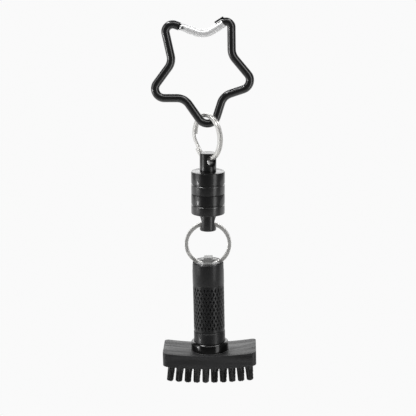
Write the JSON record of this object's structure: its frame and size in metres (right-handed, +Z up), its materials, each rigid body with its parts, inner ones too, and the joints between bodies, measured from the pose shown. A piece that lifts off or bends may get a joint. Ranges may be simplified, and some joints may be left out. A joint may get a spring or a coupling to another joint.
{
  "type": "golf club groove brush",
  "caption": "Golf club groove brush with an arched nylon brush head, a knurled handle, split rings, a magnetic quick-release coupling and a star-shaped carabiner.",
  "frame": {"origin": "inside the top of the star carabiner, just under its gate, where a ring of the golf bag holds it", "axes": "+Z up, along the hanging chain, away from the bristles; +X along the brush head, towards the carabiner's nose; +Y away from the viewer of the picture"},
  "size_m": [0.0452, 0.0198, 0.1583],
  "materials": {
    "carabiner_frame": "gloss black anodised",
    "carabiner_gate": "polished",
    "steel_pins": "plain",
    "gate_spring": "plain",
    "split_ring": "nickel plated",
    "coupling": "satin black anodised",
    "magnet": "nickel plated",
    "handle": "satin black anodised, knurled",
    "eye_plug": "plain, machined",
    "collar": "gloss",
    "head": "matte, faintly streaked",
    "bristles": "nylon filament"
  },
  "bodies": {
    "carabiner": {"carabiner_frame": "carabiner_frame", "gate_rivet": "steel_pins"},
    "gate": {"carabiner_gate": "carabiner_gate", "gate_spring": "gate_spring"},
    "plunger": {"gate_plunger": "steel_pins"},
    "upper_ring": {"upper_split_ring": "split_ring"},
    "coupling_upper": {"coupling_upper_body": "coupling", "coupling_upper_magnet": "magnet"},
    "lower_magnet": {"coupling_lower_magnet": "magnet"},
    "coupling_lower": {"coupling_lower_body": "coupling"},
    "lower_ring": {"lower_split_ring": "split_ring"},
    "brush": {"handle_tube": "handle", "handle_eye_plug": "eye_plug", "collar": "collar", "brush_head": "head", "tuft_1_1": "bristles", "tuft_1_2": "bristles", "tuft_1_3": "bristles", "tuft_1_4": "bristles", "tuft_1_5": "bristles", "tuft_1_6": "bristles", "tuft_1_7": "bristles", "tuft_1_8": "bristles", "tuft_1_9": "bristles", "tuft_1_10": "bristles", "tuft_2_1": "bristles", "tuft_2_2": "bristles", "tuft_2_3": "bristles", "tuft_2_4": "bristles", "tuft_2_5": "bristles", "tuft_2_6": "bristles", "tuft_2_7": "bristles", "tuft_2_8": "bristles", "tuft_2_9": "bristles", "tuft_2_10": "bristles", "tuft_3_1": "bristles", "tuft_3_2": "bristles", "tuft_3_3": "bristles", "tuft_3_4": "bristles", "tuft_3_5": "bristles", "tuft_3_6": "bristles", "tuft_3_7": "bristles", "tuft_3_8": "bristles", "tuft_3_9": "bristles", "tuft_3_10": "bristles", "tuft_4_1": "bristles", "tuft_4_2": "bristles", "tuft_4_3": "bristles", "tuft_4_4": "bristles", "tuft_4_5": "bristles", "tuft_4_6": "bristles", "tuft_4_7": "bristles", "tuft_4_8": "bristles", "tuft_4_9": "bristles", "tuft_4_10": "bristles"}
  },
  "joints": [
    {"name": "gate_hinge", "type": "hinge", "parent": "carabiner", "child": "gate", "pos_m": [-0.0106, 0, 0.00473], "axis": [0, 1, 0], "range_deg": [0, 48], "stiffness_Nm_per_rad": 0.004, "springref_deg": -45.84},
    {"name": "plunger_slide", "type": "slide", "parent": "gate", "child": "plunger", "axis": [0.9426, 0, -0.3339], "range_m": [0, 0.0004], "stiffness_N_per_m": 100, "springref_m": -0.005, "deforming": ["gate_spring"]},
    {"name": "upper_ring_swing", "type": "hinge", "parent": "carabiner", "child": "upper_ring", "pos_m": [-0.00026, 0, -0.03546], "axis": [1, 0, 0], "range_deg": [-14, 14]},
    {"name": "coupling_swing", "type": "hinge", "parent": "upper_ring", "child": "coupling_upper", "pos_m": [-0.00026, 0, -0.05036], "axis": [0.5736, -0.8192, 0], "range_deg": [-50, 50]},
    {"name": "magnet_release", "type": "slide", "parent": "coupling_upper", "child": "lower_magnet", "axis": [0, 0, -1], "range_m": [0, 0.02]},
    {"name": "coupling_spin", "type": "hinge", "parent": "lower_magnet", "child": "coupling_lower", "pos_m": [0, 0, -0.0655], "axis": [0, 0, 1], "continuous": true},
    {"name": "lower_ring_swing", "type": "hinge", "parent": "coupling_lower", "child": "lower_ring", "pos_m": [0, 0, -0.07875], "axis": [1, 0, 0], "range_deg": [-60, 60]},
    {"name": "handle_swing", "type": "hinge", "parent": "lower_ring", "child": "brush", "pos_m": [0, 0, -0.09705], "axis": [1, 0, 0], "range_deg": [-25, 25]}
  ]
}
